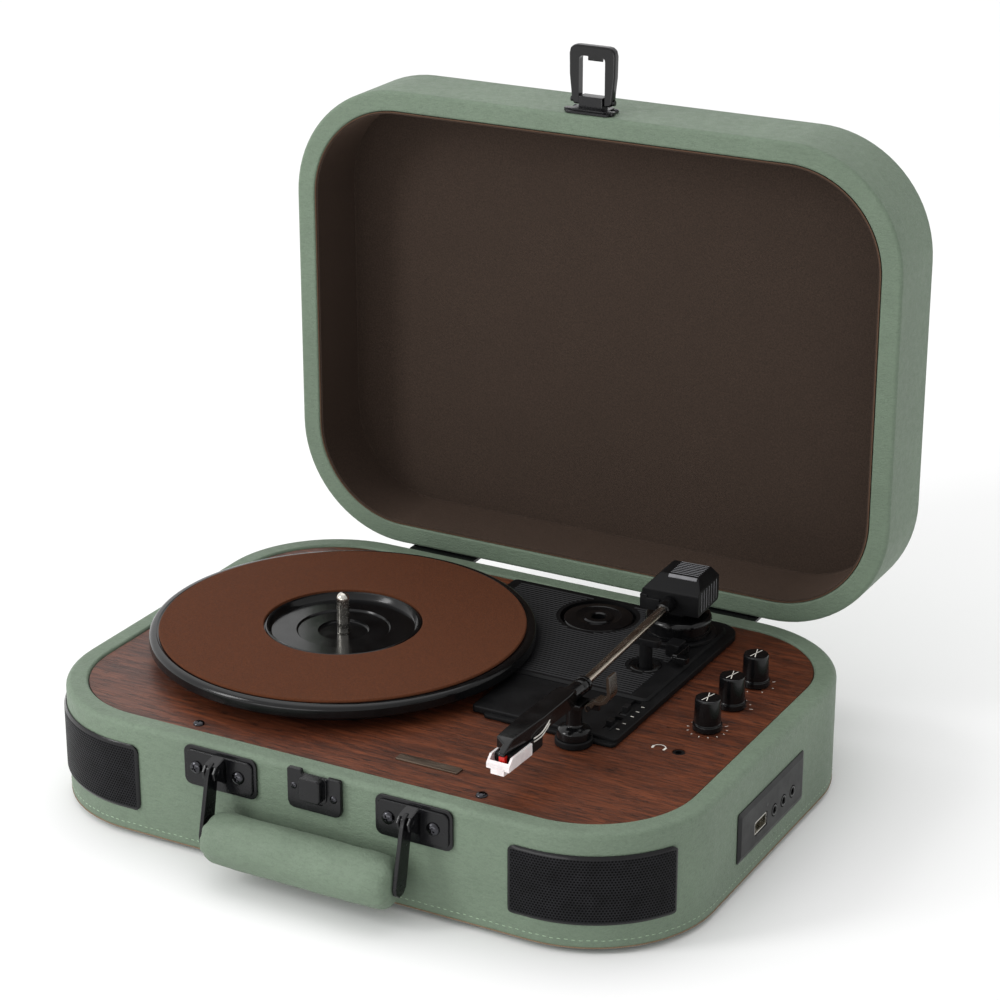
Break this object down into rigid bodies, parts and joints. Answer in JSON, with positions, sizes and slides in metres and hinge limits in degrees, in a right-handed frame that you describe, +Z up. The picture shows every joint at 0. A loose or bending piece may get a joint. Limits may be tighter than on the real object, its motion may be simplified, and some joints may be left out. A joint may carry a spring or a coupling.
{
  "type": "suitcase record player",
  "caption": "Portable suitcase record player standing open, with lined lid, belt-driven platter, tonearm, front speakers, carrying handle and loop latch",
  "frame": {"origin": "middle of the open player's bounding box in plan, at the height that the four feet stand on", "axes": "+Z up from the feet, -Y towards the handle and speakers, +X towards the side socket plate; the lid stands open at the back"},
  "size_m": [0.3618, 0.352, 0.3585],
  "materials": {
    "leatherette": "sage-green grained leatherette, satin",
    "walnut": "walnut veneer with a thin satin lacquer",
    "lining": "dark brown flocked lining, matt",
    "felt": "brown felt, matt",
    "black_plastic": "black, glossy",
    "matt_plastic": "near-black, fine matt",
    "black_metal": "black enamel, semi-gloss",
    "bright_metal": "plated, satin",
    "rubber": "black, matt",
    "board": "green solder mask",
    "stylus_red": "red, translucent look",
    "guard": "milky white, translucent look"
  },
  "bodies": {
    "base": {"base_shell": "leatherette", "deck_panel": "walnut", "rubber_foot_front_left": "rubber", "rubber_foot_front_right": "rubber", "rubber_foot_rear_left": "rubber", "rubber_foot_rear_right": "rubber", "speaker_grille_left": "black_metal", "speaker_grille_right": "black_metal", "speaker_driver_left": "matt_plastic", "speaker_driver_right": "matt_plastic", "tonearm_plate": "matt_plastic", "spindle": "bright_metal", "motor": "bright_metal", "drive_belt": "rubber", "circuit_board": "board", "side_socket_plate": "matt_plastic", "usb_socket": "bright_metal", "aux_jack": "black_plastic", "line_out_jack": "black_plastic", "power_jack": "black_plastic", "headphone_socket": "black_plastic", "volume_control": "bright_metal", "source_control": "bright_metal", "pitch_control": "bright_metal", "handle_bracket_left": "black_metal", "handle_bracket_right": "black_metal", "catch_plate": "black_metal", "hinge_leaf_base_left": "black_metal", "hinge_leaf_base_right": "black_metal", "arm_rest": "black_plastic", "tonearm_base": "matt_plastic", "cue_bracket": "black_plastic"},
    "lid": {"lid_shell": "leatherette", "lid_lining": "lining", "hinge_leaf_lid_left": "black_metal", "hinge_leaf_lid_right": "black_metal", "latch_bracket": "black_metal"},
    "latch": {"latch_loop": "black_metal"},
    "handle": {"handle_grip": "leatherette", "handle_arm_left": "black_metal", "handle_arm_right": "black_metal"},
    "platter": {"platter": "black_plastic", "felt_mat": "felt"},
    "pulley": {"motor_pulley": "bright_metal"},
    "turret": {"tonearm_turret": "black_plastic"},
    "tonearm": {"tonearm_housing": "matt_plastic", "tonearm_tube": "bright_metal", "headshell": "black_plastic", "cartridge": "black_plastic", "stylus": "stylus_red"},
    "stylus_guard": {"stylus_guard": "guard"},
    "arm_clip": {"arm_clip": "black_plastic"},
    "cue_lever": {"cue_lever": "black_plastic"},
    "cue_lift": {"cue_lift": "black_plastic"},
    "speed_switch": {"speed_switch": "matt_plastic"},
    "auto_stop_switch": {"auto_stop_switch": "matt_plastic"},
    "volume_knob": {"volume_knob": "black_plastic"},
    "source_knob": {"source_knob": "black_plastic"},
    "pitch_knob": {"pitch_knob": "black_plastic"},
    "adapter_45": {"adapter_45": "black_plastic"}
  },
  "joints": [
    {"name": "lid_hinge", "type": "hinge", "parent": "base", "child": "lid", "pos_m": [-0.0009, 0.1215, 0.055], "axis": [-1, 0, 0], "range_deg": [-90, 0]},
    {"name": "latch_loop_hinge", "type": "hinge", "parent": "lid", "child": "latch", "pos_m": [-0.0009, 0.1395, 0.329], "axis": [-1, 0, 0], "range_deg": [-90, 90]},
    {"name": "handle_hinge", "type": "hinge", "parent": "base", "child": "handle", "pos_m": [-0.0009, -0.1545, 0.054], "axis": [-1, 0, 0], "range_deg": [0, 95]},
    {"name": "platter_spin", "type": "hinge", "parent": "base", "child": "platter", "pos_m": [-0.0654, -0.016, 0.07], "axis": [0, 0, -1], "continuous": true},
    {"name": "pulley_spin", "type": "hinge", "parent": "base", "child": "pulley", "pos_m": [-0.11914, 0.03774, 0.07], "axis": [0, 0, -1], "continuous": true},
    {"name": "arm_swing", "type": "hinge", "parent": "base", "child": "turret", "pos_m": [0.0861, 0.0735, 0.075], "axis": [0, 0, -1], "range_deg": [0, 47]},
    {"name": "arm_lift", "type": "hinge", "parent": "turret", "child": "tonearm", "pos_m": [0.0861, 0.0735, 0.09], "axis": [-0.9988, -0.0489, 0], "range_deg": [0, 16]},
    {"name": "stylus_guard_slide", "type": "slide", "parent": "tonearm", "child": "stylus_guard", "axis": [-0.0261, -0.9997, 0], "range_m": [0, 0.03]},
    {"name": "arm_clip_hinge", "type": "hinge", "parent": "base", "child": "arm_clip", "pos_m": [0.1017, -0.0585, 0.0846], "axis": [0, 1, 0], "range_deg": [-84, 20]},
    {"name": "cue_lever_hinge", "type": "hinge", "parent": "base", "child": "cue_lever", "pos_m": [0.1011, 0.0495, 0.0715], "axis": [-1, 0, 0], "range_deg": [0, 60]},
    {"name": "cue_lift_slide", "type": "slide", "parent": "base", "child": "cue_lift", "axis": [0, 0, 1], "range_m": [0, 0.004]},
    {"name": "speed_switch_slide", "type": "slide", "parent": "base", "child": "speed_switch", "axis": [0, 1, 0], "range_m": [0, 0.008]},
    {"name": "auto_stop_switch_slide", "type": "slide", "parent": "base", "child": "auto_stop_switch", "axis": [0, 1, 0], "range_m": [0, 0.005]},
    {"name": "volume_knob_turn", "type": "hinge", "parent": "base", "child": "volume_knob", "pos_m": [0.1426, -0.0128, 0.07], "axis": [0, 0, -1], "range_deg": [0, 270]},
    {"name": "source_knob_turn", "type": "hinge", "parent": "base", "child": "source_knob", "pos_m": [0.1426, 0.0162, 0.07], "axis": [0, 0, -1], "range_deg": [0, 60]},
    {"name": "pitch_knob_turn", "type": "hinge", "parent": "base", "child": "pitch_knob", "pos_m": [0.1426, 0.0457, 0.07], "axis": [0, 0, -1], "range_deg": [-135, 135]},
    {"name": "adapter_45_lift", "type": "slide", "parent": "base", "child": "adapter_45", "axis": [0, 0, 1], "range_m": [0, 0.03]}
  ],
  "couplings": [
    {"joint": "pulley_spin", "follows": "platter_spin", "ratio": 11.2},
    {"joint": "cue_lever_hinge", "follows": "cue_lift_slide", "rad_per_m": 261.8}
  ]
}
